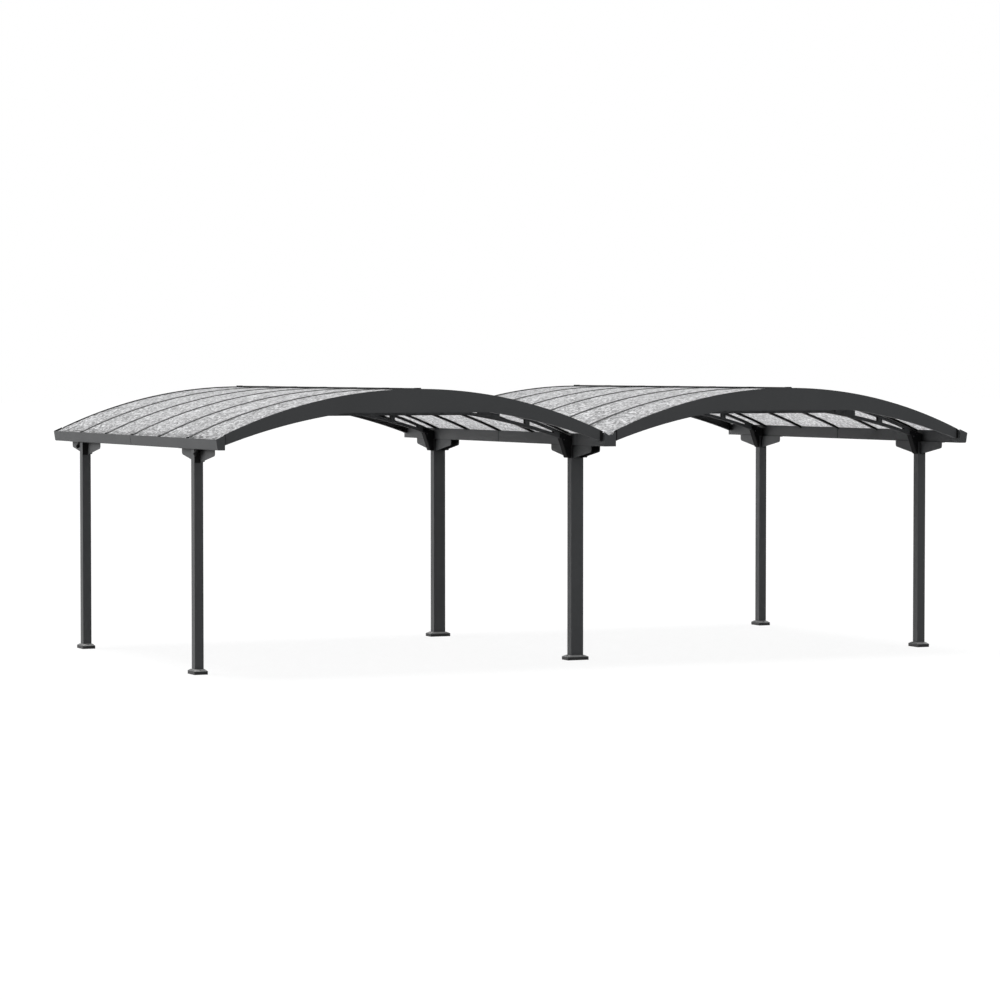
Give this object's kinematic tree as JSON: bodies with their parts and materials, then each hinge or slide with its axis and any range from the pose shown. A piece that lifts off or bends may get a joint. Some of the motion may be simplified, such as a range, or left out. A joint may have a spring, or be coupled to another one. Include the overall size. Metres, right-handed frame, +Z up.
{
  "type": "double arched carport",
  "caption": "Open double carport: arched translucent panel roofs side by side on slotted posts, with trusses, crescent fascias and a shared middle gutter.",
  "frame": {"origin": "on the ground, midway between the two middle posts", "axes": "+X across the two bays, +Y from front to rear, +Z up"},
  "size_m": [7.368, 4.485, 2.4541],
  "materials": {
    "frame": "satin dark grey powder coat",
    "panel": "translucent stippled sheet",
    "black_plastic": "moulded"
  },
  "bodies": {
    "root": {"post_left_front": "frame", "post_left_rear": "frame", "post_middle_front": "frame", "post_middle_rear": "frame", "post_right_front": "frame", "post_right_rear": "frame", "foot_left_front": "frame", "foot_left_rear": "frame", "foot_middle_front": "frame", "foot_middle_rear": "frame", "foot_right_front": "frame", "foot_right_rear": "frame", "wing_plates_left": "frame", "wing_plates_middle_left": "frame", "wing_plates_middle_right": "frame", "wing_plates_right": "frame", "gutter_left_front": "frame", "gutter_left_rear": "frame", "gutter_middle_front": "frame", "gutter_middle_rear": "frame", "gutter_right_front": "frame", "gutter_right_rear": "frame", "end_caps_left": "frame", "end_caps_middle": "frame", "end_caps_right": "frame", "truss_left_front": "frame", "truss_left_rear": "frame", "truss_right_front": "frame", "truss_right_rear": "frame", "fascia_left_front": "frame", "fascia_left_rear": "frame", "fascia_right_front": "frame", "fascia_right_rear": "frame", "fascia_blocks_left": "black_plastic", "fascia_blocks_right": "black_plastic", "glazing_bars_left": "frame", "glazing_bars_right": "frame", "roof_panels_left": "panel", "roof_panels_right": "panel", "ridge_strip_left": "frame", "ridge_strip_right": "frame", "outlets_left": "black_plastic", "outlets_right": "black_plastic"}
  },
  "joints": []
}
